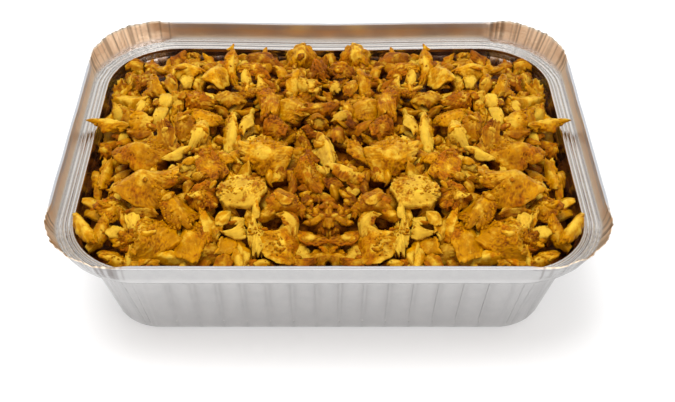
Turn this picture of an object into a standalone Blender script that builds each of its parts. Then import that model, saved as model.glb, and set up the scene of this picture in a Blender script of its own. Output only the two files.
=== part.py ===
"""A takeaway meal: sliced grilled chicken heaped in a rectangular foil tray.

Two sub-parts. The tray is one sheet of foil pressed to shape: a flat base, drafted walls with flutes,
a ridged ledge, and an upright flange whose lip is rolled over on the straight sides and left open
and flared at the four corners. The heap is one solid core with the pieces of chicken that show
fused on. Metres, +Z up, the origin at the centre of the underside.
"""

import math
import random

import bmesh
import bpy
from mathutils import Euler, Matrix, Vector

# Tray, outside
TRAY_LENGTH = 0.220
TRAY_WIDTH = 0.166
LEDGE_HEIGHT = 0.0489
FLANGE_HEIGHT = 0.0102
SHEET = 0.0005

# Ledge, flange and rolled lip
LEDGE_WIDTH = 0.0066
BEAD_RISE = 0.0005
FLANGE_LEAN = 0.0005
LIP_ROLL = 0.0017
CORNER_FLARE = 0.0028
CORNER_PLEAT = 0.0005
BACK_BOW = 0.0015

# Mouth and walls
MOUTH_CORNER = 0.0297
WALL_DRAFT = 0.0123
BASE_CORNER = 0.0193
BASE_ROUND = 0.0055
FLUTE_DEPTH = 0.00045
NECK = 0.0024

# Heap
CLEARANCE = 0.0003
RIM_DIP = 0.0035
CROWN = 0.0075
SHOULDER = 0.030
PIECE_SINK = 0.0030
LARGE_PITCH = 0.0265
SMALL_PITCH = 0.0195
SEED = 27

MOUTH_X = TRAY_LENGTH / 2 - LIP_ROLL - FLANGE_LEAN - LEDGE_WIDTH
MOUTH_Y = TRAY_WIDTH / 2 - LIP_ROLL - FLANGE_LEAN - LEDGE_WIDTH

FOIL_COLOUR = (0.80, 0.80, 0.81, 1.0)
CHICKEN_COLOUR = (0.55, 0.30, 0.04, 1.0)


def clear_scene():
    for obj in list(bpy.data.objects):
        bpy.data.objects.remove(obj, do_unlink=True)


def principled(name, colour, roughness, metallic):
    material = bpy.data.materials.new(name)
    material.use_nodes = True
    shader = material.node_tree.nodes["Principled BSDF"]
    shader.inputs["Base Color"].default_value = colour
    shader.inputs["Roughness"].default_value = roughness
    shader.inputs["Metallic"].default_value = metallic
    return material


def object_from(name, bm, collection, material=None):
    mesh = bpy.data.meshes.new(name)
    bm.to_mesh(mesh)
    bm.free()
    obj = bpy.data.objects.new(name, mesh)
    collection.objects.link(obj)
    if material:
        mesh.materials.append(material)
    return obj


# Rounded-rectangle rings
def stations(long_steps, short_steps, corner_steps):
    """Places round a rounded rectangle: a point on the rectangle of corner centres, given as
    fractions, the outward direction there, how far into a corner it is, and its number on its side."""
    found = []
    sides = (
        ((1, 0), (0, 1), short_steps),
        ((0, 1), (-1, 0), long_steps),
        ((-1, 0), (0, -1), short_steps),
        ((0, -1), (1, 0), long_steps),
    )
    for (nx, ny), (tx, ty), steps in sides:
        for step in range(steps):
            along = 2 * step / steps - 1
            found.append((nx + tx * along, ny + ty * along, nx, ny, 0.0, step))
        for step in range(corner_steps):
            angle = math.pi / 2 * step / corner_steps
            dx = nx * math.cos(angle) + tx * math.sin(angle)
            dy = ny * math.cos(angle) + ty * math.sin(angle)
            found.append((nx + tx, ny + ty, dx, dy, math.sin(2 * angle), step))
    return found


def back_bow(fx, fy, ny, height):
    """How far the middle of the back side is pushed in at this height."""
    if ny < 0.99:
        return 0.0
    return BACK_BOW * math.cos(math.pi / 2 * fx) ** 2 * max(0.0, height / LEDGE_HEIGHT) ** 2


def ring_point(station, outward, height):
    """A point outward of the tray's section at this height, which tapers with the walls' draft."""
    fx, fy, nx, ny, corner, step = station
    rise = min(1.0, height / LEDGE_HEIGHT)
    radius = BASE_CORNER + (MOUTH_CORNER - BASE_CORNER) * rise
    half_x = MOUTH_X - WALL_DRAFT * (1 - rise)
    half_y = MOUTH_Y - WALL_DRAFT * (1 - rise)
    x = fx * (half_x - radius) + nx * (radius + outward)
    y = fy * (half_y - radius) + ny * (radius + outward) - back_bow(fx, fy, ny, height)
    return Vector((x, y, height))


# Loft between rings of equal or unlike counts
def bridge(bm, lower, upper, ratio_of):
    """Triangles or quads from one ring to the next. ratio_of gives, for each place on the coarser ring,
    the matching place on the finer one."""
    if len(lower) == len(upper):
        for i in range(len(lower)):
            j = (i + 1) % len(lower)
            bm.faces.new((lower[i], lower[j], upper[j], upper[i]))
        return
    fine, coarse, flip = (lower, upper, False) if len(lower) > len(upper) else (upper, lower, True)
    for i in range(len(coarse)):
        j = (i + 1) % len(coarse)
        first = ratio_of[i]
        last = ratio_of[j] if j else len(fine)
        middle = (first + last) // 2
        faces = []
        for k in range(first, last):
            near = coarse[i] if k < middle else coarse[j]
            faces.append((fine[k], fine[(k + 1) % len(fine)], near))
        faces.append((coarse[i], fine[middle % len(fine)], coarse[j]))
        for face in faces:
            bm.faces.new(reversed(face) if flip else face)


def ragged(angle, corner):
    """The wavy height of the open edge at a corner."""
    return corner * (0.0004 * math.sin(11 * angle) + 0.0003 * math.sin(23 * angle + 1.0))


def upper_profile(station):
    """Outward offset and height above the ledge of each ring above the walls, at one place."""
    fx, fy, nx, ny, corner, step = station
    height = FLANGE_HEIGHT
    angle = math.atan2(ny, nx)
    pleat = CORNER_PLEAT * (1 if step % 2 else -1) * corner
    points = [
        (0.0005, BEAD_RISE),
        (0.0018, 0.0),
        (0.0040, 0.0004),
        (LEDGE_WIDTH, 0.0),
    ]
    roll = (LIP_ROLL - SHEET) / 2
    centre = (LEDGE_WIDTH + FLANGE_LEAN + SHEET / 2 + roll, height - SHEET / 2 - roll)
    rolled = []
    for turn in (180, 115, 50, -15, -70):
        rolled.append(
            (
                centre[0] + roll * math.cos(math.radians(turn)),
                centre[1] + roll * math.sin(math.radians(turn)),
            )
        )
    start = (LEDGE_WIDTH + 0.0014, height * 0.62)
    flare = CORNER_FLARE * corner ** 1.5 - CORNER_PLEAT
    end = (LEDGE_WIDTH + FLANGE_LEAN + LIP_ROLL + flare, height + ragged(angle, corner))
    opened = []
    for part in (0.0, 0.25, 0.5, 0.75, 1.0):
        opened.append(
            (
                start[0] + (end[0] - start[0]) * part ** 1.3 + pleat * (0.4 + 0.6 * part),
                start[1] + (end[1] - start[1]) * part,
            )
        )
    open_share = min(1.0, 1.9 * corner)
    for shut, spread in zip(rolled, opened):
        points.append(
            (
                shut[0] + (spread[0] - shut[0]) * open_share,
                shut[1] + (spread[1] - shut[1]) * open_share,
            )
        )
    return points


def make_tray(collection, material):
    long_fine, long_coarse = 28, 4
    short_fine, short_coarse = 18, 2
    corner_steps = 10
    fine = stations(long_fine, short_fine, corner_steps)
    coarse = stations(long_coarse, short_coarse, corner_steps)
    matches = []
    at = 0
    for fine_steps, coarse_steps in ((short_fine, short_coarse), (long_fine, long_coarse)) * 2:
        for step in range(coarse_steps):
            matches.append(at + step * fine_steps // coarse_steps)
        at += fine_steps
        for step in range(corner_steps):
            matches.append(at + step)
        at += corner_steps

    bm = bmesh.new()
    base = SHEET / 2

    def ring(places, outward, height):
        return [bm.verts.new(ring_point(place, outward, height)) for place in places]

    def fluted(height):
        made = []
        for place in fine:
            sign = 1 if place[5] % 2 else -1
            made.append(bm.verts.new(ring_point(place, FLUTE_DEPTH * sign, height)))
        return made

    rings = [ring(coarse, -0.0052, base)]
    rings.append(ring(coarse, -0.0016, base + 0.0012))
    rings.append(fluted(BASE_ROUND))
    rings.append(fluted(LEDGE_HEIGHT - NECK - 0.0020))
    rings.append(ring(fine, 0.0, LEDGE_HEIGHT - NECK))
    profiles = [upper_profile(place) for place in coarse]
    for number in range(len(profiles[0])):
        made = []
        for place, profile in zip(coarse, profiles):
            outward, above = profile[number]
            point = ring_point(place, outward, LEDGE_HEIGHT)
            made.append(bm.verts.new((point.x, point.y, LEDGE_HEIGHT - SHEET / 2 + above)))
        rings.append(made)
    bm.faces.new(reversed(rings[0]))
    for lower, upper in zip(rings, rings[1:]):
        bridge(bm, lower, upper, matches)
    bmesh.ops.recalc_face_normals(bm, faces=bm.faces)
    tray = object_from("foil_tray", bm, collection, material)
    shell = tray.modifiers.new("Sheet", "SOLIDIFY")
    shell.thickness = SHEET
    shell.offset = 0.0
    shell.use_even_offset = True
    return tray


# Heap
def wall_distance(x, y):
    """Distance in from the mouth's edge, negative outside it."""
    hold_x = MOUTH_X - MOUTH_CORNER
    dx = abs(x) - hold_x
    dy = abs(y) - (MOUTH_Y - MOUTH_CORNER)
    if y > 0:
        dy += BACK_BOW * math.cos(min(1.0, abs(x) / hold_x) * math.pi / 2) ** 2
    if dx > 0 and dy > 0:
        return MOUTH_CORNER - math.hypot(dx, dy)
    return MOUTH_CORNER - max(dx, dy)


def mound(x, y):
    """Height of the heap's general surface."""
    share = max(0.0, min(1.0, wall_distance(x, y) / SHOULDER))
    share = share * share * (3 - 2 * share)
    swell = 0.0012 * math.sin(58 * x + 0.6) * math.cos(71 * y - 0.4)
    return LEDGE_HEIGHT - RIM_DIP + (CROWN + RIM_DIP) * share + swell * share


def inner_limit(point, spare):
    """The point moved in, if need be, to clear the tray's wall by the gap and a little to spare."""
    x, y, z = point
    rise = min(1.0, z / LEDGE_HEIGHT)
    inset = FLUTE_DEPTH + SHEET + CLEARANCE + WALL_DRAFT * (1 - rise) + spare
    corner = MOUTH_CORNER - inset
    hold_x = MOUTH_X - MOUTH_CORNER
    hold_y = MOUTH_Y - MOUTH_CORNER
    if y > 0:
        hold_y -= BACK_BOW
    nearest = Vector((max(-hold_x, min(hold_x, x)), max(-hold_y, min(hold_y, y)), z))
    away = Vector((x, y, z)) - nearest
    if away.length > corner:
        away *= corner / away.length
    return nearest + away


def make_core(collection):
    places = stations(8, 5, 3)
    bm = bmesh.new()
    gap = FLUTE_DEPTH + SHEET / 2 + CLEARANCE + 0.0003
    floor = SHEET + CLEARANCE
    levels = ((-0.0058, floor), (-0.0024, floor + 0.0013), (-gap, BASE_ROUND + 0.0006))
    rings = []
    for outward, height in levels:
        rings.append([bm.verts.new(ring_point(place, outward, height)) for place in places])
    top = LEDGE_HEIGHT - RIM_DIP - PIECE_SINK
    rings.append([bm.verts.new(ring_point(place, -gap - 0.0006, top)) for place in places])
    for inset in (0.012, 0.0285):
        made = []
        for place in places:
            point = ring_point(place, -inset, LEDGE_HEIGHT)
            made.append(bm.verts.new((point.x, point.y, mound(point.x, point.y) - PIECE_SINK)))
        rings.append(made)
    bm.faces.new(reversed(rings[0]))
    bm.faces.new(rings[-1])
    for lower, upper in zip(rings, rings[1:]):
        bridge(bm, lower, upper, None)
    bmesh.ops.recalc_face_normals(bm, faces=bm.faces)
    bmesh.ops.triangulate(bm, faces=bm.faces)
    return object_from("chicken_heap", bm, collection)


def make_piece(rng, number, size, place, turn, around, along, collection):
    """One slice of chicken: a few-sided pod, squared off, bent, tapered and roughened, kept off the tray."""
    length, width, depth = size
    bm = bmesh.new()
    bmesh.ops.create_uvsphere(bm, u_segments=around, v_segments=along, radius=1.0)
    bend = rng.uniform(-0.35, 0.35)
    taper = rng.uniform(-0.35, 0.35)
    for vert in bm.verts:
        squared = [math.copysign(abs(c) ** 0.8, c) for c in vert.co]
        rough = 1 + rng.uniform(-0.14, 0.14)
        lengthwise = squared[2]
        narrow = 1 + taper * lengthwise
        x = lengthwise * length / 2
        y = squared[0] * width / 2 * narrow * rough
        z = squared[1] * depth / 2 * narrow * rough + bend * depth * (1 - lengthwise * lengthwise)
        vert.co = (x, y, z)
    bmesh.ops.transform(bm, matrix=Matrix.Translation(place) @ turn.to_matrix().to_4x4(), verts=bm.verts)
    spare = rng.uniform(0.0003, 0.0015)
    for vert in bm.verts:
        vert.co = inner_limit(vert.co, spare + rng.uniform(0.0, 0.0002))
    bmesh.ops.recalc_face_normals(bm, faces=bm.faces)
    return object_from(f"slice_{number}", bm, collection)


def staggered_places(pitch, reach, rng, jitter):
    """Places on a staggered grid that fills the mouth, each moved a little."""
    found = []
    deep = MOUTH_Y - reach
    wide = MOUTH_X - reach
    rows = round(2 * deep / (pitch * 0.866)) + 1
    for row in range(rows):
        columns = round(2 * wide / pitch) + row % 2
        for column in range(columns + 1):
            x = wide * (2 * column / columns - 1) + rng.uniform(-jitter, jitter) * pitch
            y = deep * (2 * row / (rows - 1) - 1) + rng.uniform(-jitter, jitter) * pitch
            if wall_distance(x, y) < reach - 0.45 * pitch:
                continue
            while wall_distance(x, y) < reach:
                x *= 0.985
                y *= 0.985
            found.append((x, y))
    return found


def make_pieces(collection):
    rng = random.Random(SEED)
    made = []
    for x, y in staggered_places(LARGE_PITCH, 0.0085, rng, 0.14):
        size = (rng.uniform(0.020, 0.027), rng.uniform(0.0125, 0.0165), rng.uniform(0.008, 0.011))
        turn = Euler((rng.uniform(-0.3, 0.3), rng.uniform(-0.24, 0.24), rng.uniform(0, math.pi)))
        place = (x, y, mound(x, y) - 0.0008)
        made.append(make_piece(rng, len(made), size, place, turn, 6, 4, collection))
    for x, y in staggered_places(SMALL_PITCH, 0.0055, rng, 0.20):
        size = (rng.uniform(0.012, 0.019), rng.uniform(0.0065, 0.0095), rng.uniform(0.006, 0.008))
        turn = Euler((rng.uniform(-0.5, 0.5), rng.uniform(-0.4, 0.4), rng.uniform(0, math.pi)))
        place = (x, y, mound(x, y) + 0.0012)
        made.append(make_piece(rng, len(made), size, place, turn, 5, 3, collection))
    return made


def make_tips(collection, first):
    """The slices that stand out: two reach over the ledge on the left and the right, one stands at the back."""
    made = []
    rng = random.Random(SEED + 1)
    over = LEDGE_HEIGHT + 0.0040
    for side in (-1, 1):
        outlines = (
            ((0.0955, 0.0105, over), (0.0210, 0.0090, 0.0050), 0.30),
            ((0.0955, -0.0530, over), (0.0200, 0.0075, 0.0050), 0.98),
        )
        for (x, y, z), (length, width, depth), heading in outlines:
            bm = bmesh.new()
            bmesh.ops.create_uvsphere(bm, u_segments=6, v_segments=4, radius=1.0)
            for vert in bm.verts:
                narrow = 1 - 0.45 * vert.co.z
                vert.co = (
                    vert.co.z * length / 2,
                    vert.co.x * width / 2 * narrow,
                    vert.co.y * depth / 2 * narrow,
                )
            turn = Matrix.Rotation(heading, 4, "Z")
            bmesh.ops.transform(bm, matrix=Matrix.Translation((x, y, z)) @ turn, verts=bm.verts)
            for vert in bm.verts:
                vert.co.x *= side
            bmesh.ops.recalc_face_normals(bm, faces=bm.faces)
            made.append(object_from(f"slice_{first + len(made)}", bm, collection))
        bm = bmesh.new()
        bmesh.ops.create_uvsphere(bm, u_segments=7, v_segments=5, radius=1.0)
        for vert in bm.verts:
            rough = rng.uniform(0.8, 1.15)
            vert.co = [math.copysign(abs(c) ** 0.75, c) * rough for c in vert.co]
        bmesh.ops.scale(bm, vec=(0.0078, 0.0058, 0.0080), verts=bm.verts)
        bmesh.ops.rotate(bm, matrix=Matrix.Rotation(-0.35, 3, "X"), verts=bm.verts)
        bmesh.ops.translate(bm, vec=(side * 0.0135, 0.0620, LEDGE_HEIGHT + 0.0010), verts=bm.verts)
        made.append(object_from(f"slice_{first + len(made)}", bm, collection))
    return made


def keep_largest(obj):
    """Drops sealed hollows and loose scraps: only the body with the largest box stays."""
    bm = bmesh.new()
    bm.from_mesh(obj.data)
    bmesh.ops.dissolve_degenerate(bm, dist=0.00002, edges=bm.edges)
    bmesh.ops.triangulate(bm, faces=bm.faces)
    bodies = []
    unseen = set(bm.faces)
    while unseen:
        start = unseen.pop()
        body = [start]
        queue = [start]
        while queue:
            face = queue.pop()
            for edge in face.edges:
                for other in edge.link_faces:
                    if other in unseen:
                        unseen.remove(other)
                        body.append(other)
                        queue.append(other)
        bodies.append(body)
    bodies.sort(key=len)
    spare = [face for body in bodies[:-1] for face in body]
    bmesh.ops.delete(bm, geom=spare, context="FACES")
    bm.to_mesh(obj.data)
    bm.free()


def make_heap(collection, helpers, material):
    heap = make_core(collection)
    slices = make_pieces(helpers)
    slices += make_tips(helpers, len(slices))
    for piece in slices:
        piece.hide_render = True
        piece.display_type = "WIRE"
    join = heap.modifiers.new("Fuse", "BOOLEAN")
    join.operation = "UNION"
    join.operand_type = "COLLECTION"
    join.collection = helpers
    join.solver = "EXACT"
    with bpy.context.temp_override(object=heap, active_object=heap, selected_objects=[heap]):
        bpy.ops.object.modifier_apply(modifier=join.name)
    for piece in slices:
        bpy.data.objects.remove(piece, do_unlink=True)
    keep_largest(heap)
    heap.data.materials.clear()
    heap.data.materials.append(material)
    return heap


def main():
    clear_scene()
    meal = bpy.data.collections.new("foil_tray_meal")
    bpy.context.scene.collection.children.link(meal)
    helpers = bpy.data.collections.new("loose_slices")
    helpers.hide_render = True
    bpy.context.scene.collection.children.link(helpers)
    make_tray(meal, principled("foil", FOIL_COLOUR, 0.3, 1.0))
    make_heap(meal, helpers, principled("chicken", CHICKEN_COLOUR, 0.5, 0.0))


main()
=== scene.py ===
"""Looks of a foil tray meal: sliced grilled chicken heaped in a pressed foil tray, on a white floor."""

import math
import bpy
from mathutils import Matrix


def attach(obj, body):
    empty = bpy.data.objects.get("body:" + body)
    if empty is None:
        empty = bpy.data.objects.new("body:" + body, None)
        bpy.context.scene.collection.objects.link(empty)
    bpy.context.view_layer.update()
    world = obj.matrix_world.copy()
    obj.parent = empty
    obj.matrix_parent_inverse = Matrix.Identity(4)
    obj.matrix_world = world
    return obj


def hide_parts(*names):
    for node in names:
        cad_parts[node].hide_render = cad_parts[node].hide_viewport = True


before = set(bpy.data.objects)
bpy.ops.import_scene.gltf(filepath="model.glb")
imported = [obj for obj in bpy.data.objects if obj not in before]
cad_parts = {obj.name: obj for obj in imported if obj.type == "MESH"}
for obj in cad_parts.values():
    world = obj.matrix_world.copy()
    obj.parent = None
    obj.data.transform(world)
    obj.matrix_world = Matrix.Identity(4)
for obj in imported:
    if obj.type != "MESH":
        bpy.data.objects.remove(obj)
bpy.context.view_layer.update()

from types import SimpleNamespace

import bpy
import numpy as np
from mathutils import Vector
from mathutils.bvhtree import BVHTree

# The tray's dimensions, in metres, as in its solid
LEDGE = 0.0489
FLANGE = 0.0102
LEDGE_WIDTH = 0.0066
SHEET = 0.0005
LEAN = 0.0005
ROLL = 0.0017
FLARE = 0.0028
BOW = 0.0015
MOUTH_X = 0.1012
MOUTH_Y = 0.0742
MOUTH_R = 0.0297
BASE_R = 0.0193
DRAFT = 0.0123
NECK = 0.0024
HOLD_X = MOUTH_X - MOUTH_R
HOLD_Y = MOUTH_Y - MOUTH_R
FLAT = LEDGE_WIDTH + LEAN + ROLL
BASE_ROUND = 0.0056
CORNER_RUN = 0.034
FOIL = 0.00016

# The heap: its general surface, how far it stays off the walls, and how much a level raises a slice
SPARE = 0.0012
LEVEL = 0.0022
DIP = 0.0035
CROWN = 0.0075
SHOULDER = 0.030

# Camera, found from the outlines of the tray in the photograph
PITCH = 0.7322
FOCAL_PX = 1095.665
CAMERA = (0.0, -0.365491, LEDGE + 0.297188)
CENTRE_PX = (328.5, 201.0)
FRAME_PX = (675, 402)


# Noise
def lattice(i, j, k, seed):
    n = i.astype(np.int64) * 374761393 + j.astype(np.int64) * 668265263 + k.astype(np.int64) * 1440662683
    n = (n + seed * 974634777) & 0xFFFFFFFF
    n = ((n ^ (n >> 15)) * 2246822519) & 0xFFFFFFFF
    n = ((n ^ (n >> 13)) * 3266489917) & 0xFFFFFFFF
    n = n ^ (n >> 16)
    return n / 2147483648.0 - 1.0


def noise(points, seed):
    """Smooth noise from -1 to 1 at each row of points."""
    points = np.asarray(points, float)
    base = np.floor(points)
    f = points - base
    u = f * f * f * (f * (f * 6 - 15) + 10)
    i, j, k = base.T
    total = 0
    for a in (0, 1):
        for b in (0, 1):
            for c in (0, 1):
                weight = (
                    (u[:, 0] if a else 1 - u[:, 0])
                    * (u[:, 1] if b else 1 - u[:, 1])
                    * (u[:, 2] if c else 1 - u[:, 2])
                )
                total = total + weight * lattice(i + a, j + b, k + c, seed)
    return total


def fractal(points, seed):
    """Noise with finer noise on it."""
    points = np.asarray(points)
    return (noise(points, seed) + 0.5 * noise(points * 2.03 + 7.7, seed + 1)) / 1.5


def smooth(value, low, high):
    t = np.clip((value - low) / (high - low), 0, 1)
    return t * t * (3 - 2 * t)


# Meshes
def mesh_object(name, points, quads, material, attributes=()):
    mesh = bpy.data.meshes.new(name)
    quads = np.asarray(quads, np.int32)
    mesh.vertices.add(len(points))
    mesh.vertices.foreach_set("co", np.asarray(points, np.float32).ravel())
    mesh.loops.add(quads.size)
    mesh.loops.foreach_set("vertex_index", quads.ravel())
    mesh.polygons.add(len(quads))
    mesh.polygons.foreach_set("loop_start", np.arange(len(quads), dtype=np.int32) * quads.shape[1])
    for title, values in attributes:
        layer = mesh.attributes.new(title, "FLOAT_VECTOR", "POINT")
        layer.data.foreach_set("vector", np.asarray(values, np.float32).ravel())
    mesh.update(calc_edges=True)
    mesh.validate()
    mesh.shade_smooth()
    mesh.materials.append(material)
    obj = bpy.data.objects.new(name, mesh)
    bpy.context.scene.collection.objects.link(obj)
    return obj


def closed_tube(rings):
    """Points and quads of rings joined one to the next, with a cap on the first and the last."""
    points = np.concatenate(rings)
    count = len(rings[0])
    index = np.arange(len(points)).reshape(len(rings), count)
    after = np.roll(index, -1, axis=1)
    quads = np.stack([index[:-1], after[:-1], after[1:], index[1:]], -1).reshape(-1, 4)
    caps = []
    for ring, step in ((index[0], 1), (index[-1], -1)):
        for i in range(count // 2 - 1):
            cap = (ring[i], ring[count - 1 - i], ring[count - 2 - i], ring[i + 1])
            caps.append(cap[::step])
    return points, np.concatenate([quads, np.array(caps)])


# Tray outline
FLUTE = 0.0098
FLUTE_FIRST = 0.0046
FLUTE_STEPS = (0.0, 0.07, 0.16, 0.33, 0.5, 0.67, 0.84, 0.93)


def side_places(hold):
    """Distances along a straight side, from its middle, close together at the grooves."""
    found = {-hold, hold}
    groove = FLUTE_FIRST - FLUTE * 8
    while groove < hold:
        for step in FLUTE_STEPS:
            at = groove + step * FLUTE
            if abs(at) < hold - 0.0004:
                found.add(at)
        groove += FLUTE
    return sorted(found)[:-1]


def groove_phase(along):
    """How far along its flute a place is, with the grooves of both halves the same from the middle."""
    away = np.abs(along) - FLUTE_FIRST
    return np.where(away < 0, (np.abs(along) + FLUTE_FIRST) / (2 * FLUTE_FIRST), (away / FLUTE) % 1)


def stations(corner_steps, straight=None):
    """Rows round the tray: fx, fy, nx, ny, how far round a corner, run, place along, side."""
    rows = []
    sides = (
        ((1, 0), (0, 1), HOLD_Y),
        ((0, 1), (-1, 0), HOLD_X),
        ((-1, 0), (0, -1), HOLD_Y),
        ((0, -1), (1, 0), HOLD_X),
    )
    run = 0.0
    for number, ((nx, ny), (tx, ty), hold) in enumerate(sides):
        if straight:
            steps = [hold * (2 * i / straight - 1) for i in range(straight)]
        else:
            steps = side_places(hold)
        for at in steps:
            along = at / hold
            rows.append((nx + tx * along, ny + ty * along, nx, ny, 0.0, run + at + hold, at, number))
        run += 2 * hold
        for step in range(corner_steps):
            angle = math.pi / 2 * step / corner_steps
            dx = nx * math.cos(angle) + tx * math.sin(angle)
            dy = ny * math.cos(angle) + ty * math.sin(angle)
            at = run + angle * CORNER_RUN
            rows.append((nx + tx, ny + ty, dx, dy, math.sin(2 * angle), at, angle, number))
        run += math.pi / 2 * CORNER_RUN
    return np.array(rows)


def tray_ring(places, outward, height):
    """Points of the tray's section at this height, moved outward. Either may be an array."""
    fx, fy, nx, ny = places[:, :4].T
    rise = np.minimum(1.0, np.asarray(height) / LEDGE)
    radius = BASE_R + (MOUTH_R - BASE_R) * rise
    half_x = MOUTH_X - DRAFT * (1 - rise)
    half_y = MOUTH_Y - DRAFT * (1 - rise)
    bow = np.where(ny > 0.99, BOW * np.cos(np.pi / 2 * fx) ** 2 * np.maximum(0, rise) ** 2, 0.0)
    x = fx * (half_x - radius) + nx * (radius + outward)
    y = fy * (half_y - radius) + ny * (radius + outward) - bow
    return np.stack([x, y, np.broadcast_to(height, x.shape)], 1)


def resample(keys, count, rounds=1):
    """Even points along a path of keys, with its corners rounded a little."""
    keys = np.array(keys, float)
    steps = np.concatenate([[0], np.cumsum(np.linalg.norm(np.diff(keys, axis=0), axis=1))])
    wanted = np.linspace(0, steps[-1], count)
    path = np.stack([np.interp(wanted, steps, keys[:, i]) for i in range(2)], 1)
    for _ in range(rounds):
        path[1:-1] = 0.25 * path[:-2] + 0.5 * path[1:-1] + 0.25 * path[2:]
    return path


# The ledge's section from the mouth out: a bead, then three fine ridges, as distance out and height
LEDGE_KEYS = (
    (0.0, -NECK), (0.0, -0.0008), (0.0001, 0.0002), (0.0005, 0.0006), (0.0010, 0.0004), (0.0013, -0.0001),
    (0.0018, -0.0003), (0.0021, 0.0001), (0.0025, 0.0002), (0.0028, -0.0004), (0.0032, -0.0003),
    (0.0035, 0.0003), (0.0040, 0.0004), (0.0044, 0.0001), (0.0047, -0.0004), (0.0051, -0.0003),
    (0.0054, 0.0002), (0.0058, 0.0002), (0.0062, -0.0002), (LEDGE_WIDTH, -0.0001),
)

# Grooves painted with dark lines of shade: distance out from the mouth, depth
LEDGE_LINES = ((0.0016, 0.7), (0.0030, 0.6), (0.0049, 0.7), (0.0064, 0.9))

# Creases that run down the walls of a corner: place round it, slant, depth
CREASES = (
    (0.22, 0.05, 0.5), (0.50, 0.11, 1.0), (0.62, -0.06, 0.6),
    (0.78, 0.09, 1.0), (0.87, 0.03, 0.7), (0.95, 0.0, 0.4),
)

# Heights above the ledge between which the painted reflection of the food fades in and out
GLOW_FOOT = (0.0014, 0.0028)
GLOW_TOP = (0.0066, 0.0080)


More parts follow.
